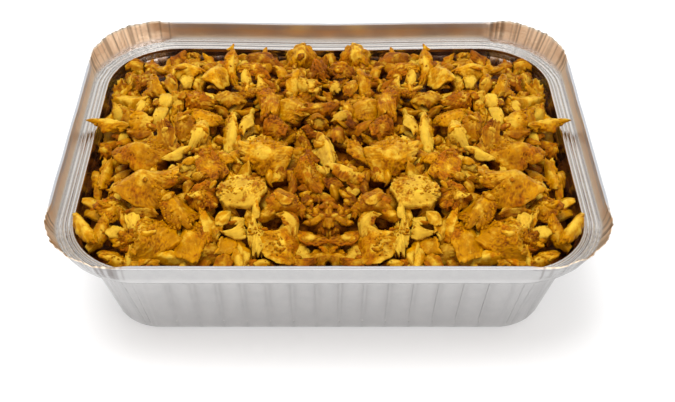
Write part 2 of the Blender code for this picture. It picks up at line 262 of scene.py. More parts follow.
def make_tray(material):
    """The foil sheet as one closed tube: up its outer side, over the roll, and down its inner side."""
    places = stations(84)
    count = len(places)
    corner, run, along, side = places[:, 4:].T
    nx, ny = places[:, 2], places[:, 3]
    flat = np.zeros(count)
    base = FOIL / 2
    turn = np.where(corner > 0, along / (math.pi / 2), 0.0)
    open_share = smooth(corner, 0.03, 0.60)
    front_turn = np.where((side == 2) | (side == 0), turn, 1 - turn)
    rings = []

    # Pleats of the corners, each with its own width and depth, sharp where they turn in
    rng = np.random.default_rng(5)
    pleat, fine = np.zeros(count), np.zeros(count)
    for number in range(4):
        here = (side == number) & (corner > 0)
        for target, cuts in ((pleat, 13), (fine, 34)):
            at = np.linspace(0.01, 0.99, cuts) + rng.uniform(-0.3, 0.3, cuts) / cuts
            values = rng.uniform(0.25, 1.0, cuts) * np.where(np.arange(cuts) % 2, 1, -1)
            wave = np.interp(turn[here], np.concatenate([[0], at, [1]]), np.concatenate([[0], values, [0]]))
            target[here] = np.sign(wave) * np.abs(wave) ** 0.8

    # Sharp creases down the corner flanges, one station wide, which also get painted shade
    crease = np.zeros(count)
    at = np.flatnonzero(corner > 0.25)
    chosen = at[rng.uniform(size=len(at)) < 0.40]
    crease[chosen] = rng.uniform(0.35, 1.0, len(chosen))

    def push(points, amount):
        points = points.copy()
        points[:, 0] += nx * amount
        points[:, 1] += ny * amount
        return points

    def body(offset, heights):
        """Rings of the wall, offset to one side of the sheet, with its flutes and creases."""
        phase = groove_phase(along)
        away = np.minimum(phase, 1 - phase) * FLUTE
        groove = np.exp(-((away / 0.0008) ** 2))
        bulge = np.sin(np.pi * phase)
        ends = smooth(np.where(side % 2 == 0, HOLD_Y, HOLD_X) - np.abs(along), -0.001, 0.005)
        straight = (corner == 0) * ends
        made = []
        for height in heights:
            up = height / LEDGE
            strength = smooth(height, 0.002, 0.010) * (1 - smooth(height, LEDGE - 0.0070, LEDGE - 0.0034))
            amount = straight * strength * (0.00070 * bulge - 0.00075 * groove)
            for at, slant, depth in CREASES:
                line = front_turn - (at + slant * (0.5 - up))
                fold = np.exp(-((line / 0.016) ** 2)) - 0.7 * np.exp(-(((line - 0.035) / 0.02) ** 2))
                reach = smooth(up, 0.02, 0.15) * (1 - smooth(up, 0.80, 0.98))
                amount = amount - 0.00050 * depth * fold * reach * (corner > 0)
            amount = amount + 0.00016 * pleat * corner * smooth(up, 0.6, 1.0)
            ring = tray_ring(places, offset, height)
            rough = fractal(ring / (0.012, 0.012, 0.030), 11)
            amount = amount + (0.00010 + 0.00014 * corner) * rough * smooth(up, 0.0, 0.1)
            made.append(push(ring, amount))
        return made

    def brim(path, opened, lift):
        """Rings of the ledge or flange: path on the straight sides, opened round the corners."""
        made = []
        for number, (out, above) in enumerate(path):
            wide, high = opened[number]
            wider = np.minimum(wide, FLAT) + max(0.0, wide - FLAT) * corner ** 1.4
            o = out + (wider - out) * open_share
            a = above + (high - above) * open_share
            up = np.clip(a / FLANGE, 0, 1)
            on_ledge = 1 - smooth(o, LEDGE_WIDTH - 0.0004, LEDGE_WIDTH + 0.0003)
            share = smooth(o, 0.0, LEDGE_WIDTH)
            a = a + ragged * up ** 3 * open_share
            crimp = np.sqrt(corner) * share
            rough = fractal(np.stack([run / 0.0014, o / 0.0014, flat], 1), 8)
            a = a + on_ledge * crimp * (0.00026 * rough + 0.00020 * fine + 0.00012 * pleat)
            a = a + on_ledge * 0.00005 * fractal(np.stack([run / 0.006, o / 0.0012, flat], 1), 3)
            points = tray_ring(places, o, LEDGE)
            points[:, 2] = LEDGE + lift + a
            reach = (1 - on_ledge) * (0.22 + 0.78 * up)
            wave = 0.00022 * fractal(points * (1, 1, 0.2) / 0.018, 31) * (1 - open_share)
            folds = (0.00034 * pleat + 0.00034 * fine + 0.00030 * crease) * corner ** 0.4
            amount = reach * (open_share * folds + wave)
            amount = amount + crimp * on_ledge * (0.00022 * pleat + 0.00014 * rough)
            made.append(push(points, amount))
        return made

    ragged = 0.0005 * fractal(np.stack([run / 0.0060, flat, flat], 1), 21) + 0.00012 * fine

    # Outer side: underside, rounded lower edge, wall, under the ledge, and up the flange
    bottom = tray_ring(places, -BASE_ROUND, base)
    for share in (0.06, 0.35, 0.7, 1.0):
        rings.append(np.stack([bottom[:, 0] * share, bottom[:, 1] * share, flat], 1))
    for degrees in (18, 36, 54, 72):
        a = math.radians(degrees)
        out = -BASE_ROUND + BASE_ROUND * math.sin(a)
        rings.append(tray_ring(places, out, BASE_ROUND * (1 - math.cos(a))))
    rings += body(0.0, np.linspace(BASE_ROUND, LEDGE - NECK, 17))
    under = resample([(o + FOIL * 0.4, a) for o, a in LEDGE_KEYS[1:]], 20, 0)
    rings += brim(under, under, -FOIL)
    roll = (ROLL - SHEET) / 2 + 0.00015
    centre = (LEDGE_WIDTH + LEAN + roll + FOIL, FLANGE - roll - 0.0001)
    outside = [(LEDGE_WIDTH + FOIL, 0.0001), (LEDGE_WIDTH + FOIL + 0.0002, 0.0032)]
    outside = list(resample(outside + [(centre[0] - roll * 0.75, centre[1] - roll * 0.95)], 8))
    for degrees in np.linspace(-112, 190, 15):
        a = math.radians(degrees)
        outside.append((centre[0] + roll * math.cos(a), centre[1] + roll * math.sin(a)))
    tip = (FLAT + FLARE, FLANGE)
    foot = (LEDGE_WIDTH + FOIL, 0.0001)
    # The roll's points open out into the flange's top fifth
    spread = resample([foot, (LEDGE_WIDTH + 0.0014, 0.0030), (LEDGE_WIDTH + 0.0029, 0.0061), tip], 241)
    steps = np.concatenate([np.linspace(0, 188, 8), np.linspace(194, 240, 15)]).astype(int)
    opened = [spread[i] for i in steps]
    roll_foot = len(rings) + 8
    rings += brim(outside, opened, 0.0)
    outer = len(rings) - 11

    # Inner side: down the flange, over the ledge and down the wall to the floor
    under_roll = (centre[0] - roll, centre[1] - 0.0002)
    inside = resample([under_roll, (LEDGE_WIDTH, 0.0032), (LEDGE_WIDTH - FOIL, 0.0004)], 11)
    opened = [(o - FOIL * 0.7, a + 0.0001) for o, a in resample(spread[::-1], len(inside))]
    rings += brim(inside, opened, 0.0)
    top = [(o - FOIL * 0.4, a) for o, a in resample(LEDGE_KEYS[::-1], 40)]
    ledge_top = len(rings)
    rings += brim(top, top, 0.0)
    rings += body(-FOIL, np.linspace(LEDGE - NECK - 0.001, BASE_ROUND, 7))
    bottom = tray_ring(places, -BASE_ROUND, FOIL)
    rings.append(bottom)
    rings.append(np.stack([bottom[:, 0] * 0.06, bottom[:, 1] * 0.06, flat + FOIL], 1))

    points, quads = closed_tube(rings)
    above = smooth(points[:, 2], LEDGE - NECK * 1.5, LEDGE - NECK * 0.5)
    crumple = np.tile(np.sqrt(corner), len(rings)) * (0.25 + 0.75 * above)
    # Share of the inner side, which the material paints lighter than the outer side as painted light
    bright = np.repeat(smooth(np.arange(len(rings)), outer - 1, outer + 4), count)
    rise = smooth(points[:, 2], LEDGE + 0.0006, LEDGE + 0.0030)
    # Painted shade down the corner creases, on the flange only
    painted_shade_lines = np.tile(crease, len(rings)) * rise

    # Painted reflection of the food on the flange: a band along the straight sides, and all of the corners
    climb = points[:, 2] - LEDGE
    painted_food_reflection = smooth(climb, *GLOW_FOOT) * (1 - smooth(climb, *GLOW_TOP))
    painted_food_reflection = np.maximum(painted_food_reflection, np.tile(open_share, len(rings)) * rise) * bright

    # Painted shade as dark lines: in the grooves between the ledge's ridges, and where the roll meets the
    # flange
    grooves = np.zeros(len(rings))
    for number, (o, _) in enumerate(top):
        for at, depth in LEDGE_LINES:
            grooves[ledge_top + number] += depth * math.exp(-(((o - at) / 0.00020) ** 2))
    grooves[roll_foot - 1:roll_foot + 2] = (0.5, 0.9, 0.5)
    painted_shade_lines = np.maximum(painted_shade_lines, np.repeat(grooves, count) * np.tile(1 - 0.75 * np.sqrt(corner), len(rings)))
    shares = np.stack([crumple, bright, painted_shade_lines], 1)
    marks = (("crumple", shares), ("rise", np.stack([rise, painted_food_reflection, painted_food_reflection], 1)))
    tray = mesh_object("foil_tray_sheet", points, quads, material, marks)
    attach(tray, "root")
    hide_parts("foil_tray")


# Heap
def wall_distance(x, y):
    """How far inside the tray's mouth a place is."""
    hold = np.minimum(1.0, np.abs(x) / HOLD_X)
    dx = np.abs(x) - HOLD_X
    dy = np.abs(y) - HOLD_Y + np.where(y > 0, BOW * np.cos(hold * np.pi / 2) ** 2, 0.0)
    both = (dx > 0) & (dy > 0)
    round_corner = MOUTH_R - np.hypot(np.maximum(dx, 0), np.maximum(dy, 0))
    return np.where(both, round_corner, MOUTH_R - np.maximum(dx, dy))


def mound(x, y):
    """Height of the heap's general surface."""
    share = np.clip(wall_distance(x, y) / SHOULDER, 0, 1)
    share = share * share * (3 - 2 * share)
    swell = 0.0012 * np.sin(58 * x + 0.6) * np.cos(71 * y - 0.4)
    return LEDGE - DIP + (CROWN + DIP) * share + swell * share


def keep_in(points):
    """Points moved in, where need be, to clear the tray's walls by SPARE."""
    x, y, z = points.T
    rise = np.minimum(1.0, z / LEDGE)
    reach = MOUTH_R - SPARE - DRAFT * (1 - rise)
    hold_y = HOLD_Y - np.where(y > 0, BOW, 0.0)
    cx = np.clip(x, -HOLD_X, HOLD_X)
    cy = np.clip(y, -hold_y, hold_y)
    away = np.hypot(x - cx, y - cy)
    shrink = np.where(away > reach, reach / np.maximum(away, 1e-9), 1.0)
    return np.stack([cx + (x - cx) * shrink, cy + (y - cy) * shrink, z], 1)


def pixel_ray(px, py):
    """Direction of the line of sight of a photo pixel."""
    u = (px - CENTRE_PX[0]) / FOCAL_PX
    v = -(py - CENTRE_PX[1]) / FOCAL_PX
    c, s = math.cos(PITCH), math.sin(PITCH)
    return np.array([u, c + v * s, -s + v * c])


def on_heap(px, py, lift):
    """Where the line of sight of a photo pixel meets the heap's surface raised by lift."""
    ray = pixel_ray(px, py)
    z = LEDGE + CROWN
    for _ in range(12):
        x, y = (np.array(CAMERA) + ray * (z - CAMERA[2]) / ray[2])[:2]
        z = 0.5 * z + 0.5 * (float(mound(x, y)) + lift)
    scale = FOCAL_PX / (-(z - CAMERA[2]) / ray[2])
    return np.array([x, y, z]), scale


def slice_form(thick, **changes):
    """How a kind of slice is shaped: thick is its thickness as a share of its width."""
    shape = dict(
        thick=thick, sides=0, square=0.0, edge=0.16, dome=0.5, taper=0.15, outline=0.10, leaf=0.0,
        cuts=1, fold=0.1, lumps=0.35, fibre=0.20, flake=0.30, crust=0.2, tear=1.0, bend=0.14, cup=0.2,
    )
    shape.update(changes)
    return SimpleNamespace(**shape)


FORMS = {
    "slab": slice_form(
        0.22, sides=6, square=0.25, edge=0.12, dome=0.4, leaf=0.30, fold=0.45, lumps=0.10,
        flake=0.34, tear=1.2, bend=0.36, cup=0.5,
    ),
    "dome": slice_form(
        0.38, sides=8, edge=0.26, dome=0.7, cuts=0, fold=0.10, lumps=0.18, fibre=0.10, flake=0.20,
        tear=0.6, bend=0.30, cup=0.5,
    ),
    "strip": slice_form(
        0.30, square=0.35, edge=0.12, dome=0.35, leaf=0.50, taper=0.25, cuts=0, fold=0.6, lumps=0.08,
        fibre=0.26, flake=0.35, tear=1.8, bend=0.42, cup=0.5,
    ),
    "block": slice_form(
        0.44, square=0.70, edge=0.08, dome=0.10, taper=0.14, cuts=2, fold=0.15, lumps=0.10, fibre=0.16,
        flake=0.22, tear=0.8, crust=0.1, bend=0.26,
    ),
    "pod": slice_form(
        0.42, edge=0.28, leaf=0.45, outline=0.04, cuts=0, fold=0.2, lumps=0.08, fibre=0.14, flake=0.2,
        tear=0.4, crust=0.0, bend=0.34,
    ),
    "wedge": slice_form(
        0.24, sides=5, edge=0.10, dome=0.3, taper=0.45, leaf=0.25, fold=0.5, lumps=0.08, fibre=0.18,
        tear=1.3, bend=0.38, cup=0.55,
    ),
    "frayed": slice_form(
        0.27, sides=9, edge=0.10, cuts=0, fold=0.45, leaf=0.25, lumps=0.30, fibre=0.5, flake=0.6,
        crust=0.3, tear=2.6, bend=0.34, cup=0.4,
    ),
    "knob": slice_form(
        0.38, sides=7, edge=0.20, outline=0.18, cuts=0, fold=0.2, lumps=0.6, flake=0.4, crust=0.45,
        tear=1.7, bend=0.2, cup=0.3,
    ),
}

# How browned, pale and bright the slices of a tone are
TONES = {
    "gold": (0.12, 0.10, 0.55),
    "yellow": (0.03, 0.28, 0.80),
    "pale": (0.03, 0.75, 0.65),
    "olive": (0.18, 0.22, 0.30),
    "orange": (0.33, 0.10, 0.55),
    "brown": (0.46, 0.08, 0.35),
    "red": (0.70, 0.04, 0.22),
}


class Batch:
    """Pieces gathered into one mesh."""

    def __init__(self):
        self.points, self.quads, self.mix, self.grain = [], [], [], []
        self.total = 0

    def add(self, points, quads, mix, grain):
        self.points.append(points)
        self.quads.append(quads + self.total)
        self.mix.append(mix)
        self.grain.append(grain)
        self.total += len(points)

    def joined(self):
        return [np.concatenate(part) for part in (self.points, self.quads, self.mix, self.grain)]

    def mirrored(self):
        points, quads, mix, grain = self.joined()
        points = np.concatenate([points, points * (-1, 1, 1)])
        quads = np.concatenate([quads, quads[:, ::-1] + self.total])
        return points, quads, np.concatenate([mix, mix]), np.concatenate([grain, grain + 3.1])


BOXES = {}


def box_grid(cells):
    """Points of a unit cube cut in cells along each axis, and outward quads."""
    if cells in BOXES:
        return BOXES[cells]
    points, quads, total = [], [], 0
    for axis in range(3):
        one, two = (axis + 1) % 3, (axis + 2) % 3
        for sign in (-1, 1):
            steps = [np.linspace(-1, 1, cells[way] + 1) for way in (one, two)]
            a, b = np.meshgrid(*steps, indexing="ij")
            face = np.empty(a.shape + (3,))
            face[..., axis], face[..., one], face[..., two] = sign, a, b
            index = np.arange(a.size).reshape(a.shape) + total
            total += a.size
            corners = [index[:-1, :-1], index[1:, :-1], index[1:, 1:], index[:-1, 1:]]
            if sign < 0:
                corners.reverse()
            quads.append(np.stack(corners, -1).reshape(-1, 4))
            points.append(face.reshape(-1, 3))
    points = np.concatenate(points)
    _, first, inverse = np.unique(np.round(points, 6), axis=0, return_index=True, return_inverse=True)
    BOXES[cells] = points[first], inverse.reshape(-1)[np.concatenate(quads)]
    return BOXES[cells]


def cube_sphere(n):
    """Directions, cube positions and outward quads of a sphere made of six n by n grids."""
    cube, quads = box_grid((n, n, n))
    cube = np.tan(cube * math.pi / 4)
    return cube / np.linalg.norm(cube, axis=1, keepdims=True), cube, quads


def point_normals(points, quads):
    across = points[quads[:, 2]] - points[quads[:, 0]]
    over = points[quads[:, 3]] - points[quads[:, 1]]
    face = np.cross(across, over)
    total = np.zeros_like(points)
    for corner in range(4):
        np.add.at(total, quads[:, corner], face)
    return total / np.maximum(np.linalg.norm(total, axis=1, keepdims=True), 1e-12)


def standing(points, quads, normals):
    """How far each point stands out from those round it, in the unit of the points."""
    total, count = np.zeros_like(points), np.zeros(len(points))
    for corner in range(4):
        for step in (1, 3):
            np.add.at(total, quads[:, corner], points[quads[:, (corner + step) % 4]])
            np.add.at(count, quads[:, corner], 1)
    return ((points - total / count[:, None]) * normals).sum(1)


def cornered(rng, angle, sides):
    """Distance to the edge of an uneven many-sided outline, in each direction."""
    at = (np.arange(sides) + rng.uniform(-0.32, 0.32, sides)) * 2 * math.pi / sides
    at = at + rng.uniform(0, 2 * math.pi)
    radius = rng.uniform(0.78, 1.12, sides)
    turned = (angle[:, None] - at) % (2 * math.pi)
    before = np.argmin(turned, axis=1)
    past = turned[np.arange(len(angle)), before]
    after = (before + 1) % sides
    span = (at[after] - at[before]) % (2 * math.pi)
    sines = radius[before] * np.sin(past) + radius[after] * np.sin(span - past)
    edge = radius[before] * radius[after] * np.sin(span) / sines
    return edge / edge.mean()


def slice_shape(rng, form, length, width, thick, spacing):
    """One slice in its own axes, in millimetres: x along its fibres, z through its thickness."""
    f = FORMS[form]
    sizes = ((length, 6, 46), (width, 5, 36), (thick * 0.85, 3, 10))
    cells = tuple(int(np.clip(round(size / spacing), low, high)) for size, low, high in sizes)
    cube, quads = box_grid(cells)
    seed = int(rng.integers(1 << 20))
    lead = rng.uniform(-40, 40, 3)
    scale = min(1.0, width / 8.0)
    s, t, w = cube.T

    # Outline seen from above, with a few waves and torn notches
    middle = np.maximum(np.abs(s), np.abs(t))
    spoke = np.hypot(s, t)
    round_off = np.where(spoke > 1e-9, middle / np.maximum(spoke, 1e-9), 1.0)
    factor = (1 - f.square) * round_off + f.square
    side = np.abs(w) < 0.9999
    rim = np.where(side & (middle > 0.9999), np.cos(w * math.pi / 2), 0.0)
    reach = (1 - f.edge) + f.edge * rim
    angle = np.arctan2(t, s)
    outline = 0.30 + 0.70 * cornered(rng, angle, f.sides) if f.sides else np.ones(len(s))
    for wave in range(2, 8):
        outline += f.outline * rng.uniform(-1, 1) / wave ** 0.6 * np.cos(wave * angle + rng.uniform(0, 6.3))
    for _ in range(rng.integers(0, 3)):
        gap = np.angle(np.exp(1j * (angle - rng.uniform(0, 6.3))))
        outline -= rng.uniform(0.08, 0.30) * np.exp(-((gap / rng.uniform(0.08, 0.22)) ** 2))
    outline = 1 + (np.maximum(outline, 0.45) - 1) * middle
    u = s * factor * reach * outline
    v = t * factor * reach * outline
    high = np.where(rim > 0, (1 - f.dome) * np.sin(w * math.pi / 2), np.sign(w) * (1 - f.dome * middle ** 2))

    # Thickness, taper and shear
    lean = f.taper * rng.choice((-1, 1)) + rng.uniform(-0.1, 0.1)
    sway = noise(np.stack([u * 1.5 + lead[0], v * 0.8, 0 * u], 1), seed)
    x = u * length / 2
    y = v * width / 2 * (1 + lean * u) * (1 - f.leaf * np.minimum(1, np.abs(u)) ** 2.2)
    z = high * thick / 2 * (1 + 0.5 * lean * u + rng.uniform(-0.25, 0.25) * v + 0.22 * sway)
    x += rng.uniform(-0.22, 0.22) * y

    # Flat cuts
    points = np.stack([x, y, z], 1)
    cut_at = np.zeros(len(points))
    for _ in range(f.cuts):
        normal = rng.normal(0, 1, 3) * (1.0, 1.0, 0.8)
        normal[2] = abs(normal[2])
        normal /= np.linalg.norm(normal)
        depth = points @ normal
        limit = depth.max() * rng.uniform(0.58, 0.85)
        beyond = np.maximum(depth - limit, 0)
        points = points - normal * beyond[:, None] * 0.95
        cut_at = np.maximum(cut_at, smooth(beyond, 0.02, 0.3))
    x, y, z = points.T

    # Torn ends, then folds, bends and a twist
    grain = points + lead
    ends = smooth(np.abs(s), 0.55, 1.0)
    sides = smooth(np.abs(t), 0.7, 1.0)
    shred = 1 - 2 * np.abs(noise(np.stack([y / 1.25, z / 1.6, np.sign(s)], 1) + lead, seed + 5))
    x = x + np.sign(s) * ends * f.tear * scale * (shred - 0.4)
    ragged = noise(np.stack([x / 1.4, z / 1.6, np.sign(t)], 1) + lead, seed + 6)
    y = y + np.sign(t) * sides * 0.35 * f.tear * scale * ragged
    crest = rng.uniform(-0.3, 0.3) * width / 2
    z = z - f.fold * rng.uniform(0.3, 1.6) * np.sqrt((y - crest) ** 2 + 0.15)
    bend = f.bend * rng.uniform(-0.5, 1.5)
    z = z - bend * length * 0.5 * ((2 * x / length) ** 2 - 0.33)
    z = z - f.cup * rng.uniform(-0.9, 1.1) * width * 0.5 * np.minimum(1.5, (2 * y / width) ** 2)
    y = y + rng.uniform(-0.26, 0.26) * length * 0.5 * (2 * x / length) ** 2
    twist = rng.uniform(-0.8, 0.8) * 2 * x / length
    y, z = y * np.cos(twist) - z * np.sin(twist), y * np.sin(twist) + z * np.cos(twist)
    points = np.stack([x, y, z], 1)

    # Relief: lumps, fibres along the slice, and crumbly crust in patches
    big = noise(grain / (4.2 * scale), seed + 1)
    mid = noise(grain / (1.8 * scale), seed + 2)
    heart = 1 - smooth(middle, 0.25, 0.85)
    patch = smooth(noise(grain / 5.5, seed + 7) + 1.2 * f.crust + 0.22 - 0.50 * heart, 0.38, 0.72)
    threads = 1 - 2 * np.abs(noise(grain / (7.0, 1.1, 1.1), seed + 3))
    threads = threads + 0.7 * (1 - 2 * np.abs(noise(grain / (4.0, 0.6, 0.6), seed + 4)))
    crumb = 1 - 2.4 * np.abs(noise(grain / 1.15, seed + 8)) + 0.6 * noise(grain / 0.6, seed + 9)
    normals = point_normals(points, quads)
    ridge = 1 - 2.6 * np.abs(noise(grain / (5.5, 3.2, 3.2) / scale, seed + 10))
    strands = smooth(noise(grain / 6.0, seed + 11), -0.3, 0.4)
    push = scale * f.lumps * (0.9 * big + 0.5 * mid + 0.4 * ridge)
    push = push + (1 - patch) * (0.15 + 0.60 * strands) * f.fibre * threads * scale
    layer = 1.7 * noise(grain / (12.0, 4.2, 4.2) / scale, seed + 12) + 0.25 * mid
    layer = layer - np.floor(layer)
    push = push + (1 - patch) * 0.7 * f.flake * scale * (layer * (1 - smooth(layer, 0.86, 1.0)) - 0.4)
    push = push + patch * 0.34 * crumb * min(1.0, scale * 1.3)
    points = points + normals * push[:, None]
    cut_at = cut_at * (1 - 0.6 * patch)
    # How far each point stands out, for painted highlight and painted shade
    out = standing(points, quads, point_normals(points, quads)) / (0.16 * spacing)
    # The upper rim, tinted both as a pale cut edge and as a painted highlight
    edge = smooth(middle, 0.72, 0.98) * smooth(w, -0.4, 0.5) * (1 - patch)
    return SimpleNamespace(
        points=points, quads=quads, grain=grain, cut=cut_at, edge=edge, heart=heart, patch=patch,
        big=big, push=push / 0.6, out=np.clip(out, -1, 1),
    )


def tint(rng, tone, shape):
    """How browned, pale and bright each point of a slice is. What stands out gets painted highlight, paler
    and brighter, and hollows get painted shade, browner and darker.
    """
    brown, pale, bright = TONES[tone]
    patch, cut, heart, edge, out = shape.patch, shape.cut, shape.heart, shape.edge, shape.out
    brown = brown * (1 - 0.4 * cut) + patch * (0.18 + 0.35 * brown) + 0.16 * shape.big
    # Painted shade: hollows browner
    brown = brown + 0.25 * np.maximum(-out, 0)
    brown = brown + 0.14 * (1 - heart) - 0.08 + 0.10 * rng.uniform(-1, 1)
    pale = pale + cut * (0.18 + 0.4 * pale) + heart * (0.30 + 0.25 * pale) + 0.12 * edge - 0.35 * patch
    # Painted highlight: what stands out paler
    pale = pale + 0.22 * np.maximum(out, 0) * (1 - 0.7 * patch) + 0.10 * rng.uniform(-1, 1)
    # Painted highlight and shade: brighter where the relief rises, stands out and along the upper rim,
    # darker in hollows
    bright = bright + 0.15 * shape.push + 0.26 * out + 0.12 * edge + 0.12 * heart + 0.15 * rng.uniform(-1, 1)
    return np.clip(np.stack([brown, pale, bright], 1), 0, 1)


def painted_depth_shade(mix, points):
    """Painted shade: darker and browner, the lower a point lies under the heap's surface. Also darker and
    browner nearer the heap's middle.
    """
    below = smooth(mound(points[:, 0], points[:, 1]) - points[:, 2], 0.0004, 0.0052)
    middle = 1 - smooth(np.abs(points[:, 0]), 0.010, 0.034)
    return np.clip(mix + below[:, None] * (0.42, -0.4, -0.62) + middle[:, None] * (0.14, -0.12, -0.18), 0, 1)


def turn_matrix(heading, tilt, roll, pitch):
    """Axes of a piece: its length turned by heading in a plane that leans towards the front by tilt."""
    ch, sh = math.cos(heading), math.sin(heading)
    plane = np.array([[1, 0, 0], [0, math.cos(tilt), math.sin(tilt)], [0, -math.sin(tilt), math.cos(tilt)]])
    long = ch * plane[0] + sh * plane[1]
    wide = -sh * plane[0] + ch * plane[1]
    up = plane[2]
    long, up = long * math.cos(pitch) + up * math.sin(pitch), up * math.cos(pitch) - long * math.sin(pitch)
    wide, up = wide * math.cos(roll) + up * math.sin(roll), up * math.cos(roll) - wide * math.sin(roll)
    return np.stack([long, wide, up], 1)


# The strip down the heap's middle that isn't mirrored: half its width, and where it ends at the front
MIDDLE = 0.0135
MIDDLE_FRONT = -0.040

# In the photograph, the strip's part of SLICES lies right of the first number and above the second
MIDDLE_PX = (300, 200)

# The slices lean towards the front by TILT, so they look shorter by SHRINK
TILT = 0.30
SHRINK = math.sin(PITCH + TILT)

# Millimetres between the points of a slice, of a filler slice of either layer, and of a chip
SPACING = 0.62
FILLER_SPACING = (1.6, 1.3)
CHIP_SPACING = 0.66

# How many chips are laid and how many crumbs are tried
CHIPS = 200
CRUMBS = 950

# Ranges of a filler slice's heading, tilt, roll and pitch
FILLER_TURNS = ((0, math.pi), (0.0, 0.5), (-0.5, 0.5), (-0.4, 0.4))


def in_middle(x, y):
    return abs(x) < MIDDLE and y > MIDDLE_FRONT


def lay(batch, rng, shape, turn, place, tone):
    """Adds a slice to the batch, turned and moved to its place."""
    points = keep_in(shape.points / 1000 @ turn.T + place)
    batch.add(points, shape.quads, painted_depth_shade(tint(rng, tone, shape), points), shape.grain)


def add_slice(batch, rng, px, py, long_px, wide_px, slant, form, tone, level):
    """A slice whose place, size and slant are those of one in the photograph, resting on the heap."""
    place, scale = on_heap(px, py, level * LEVEL)
    a = math.radians(-slant)
    long = np.array([math.cos(a), math.sin(a) / SHRINK]) * long_px / scale * 1000
    wide = np.array([-math.sin(a), math.cos(a) / SHRINK]) * wide_px / scale * 1000
    length, width = np.linalg.norm(long) * 1.14, np.linalg.norm(wide) * 1.12
    heading = math.atan2(long[1], long[0])
    thick = max(1.6, FORMS[form].thick * min(width, length)) * rng.uniform(0.85, 1.15)
    shape = slice_shape(rng, form, length, width, thick, SPACING)
    turn = turn_matrix(heading, TILT, rng.uniform(-0.45, 0.45), rng.uniform(-0.32, 0.32))
    lay(batch, rng, shape, turn, place, tone)


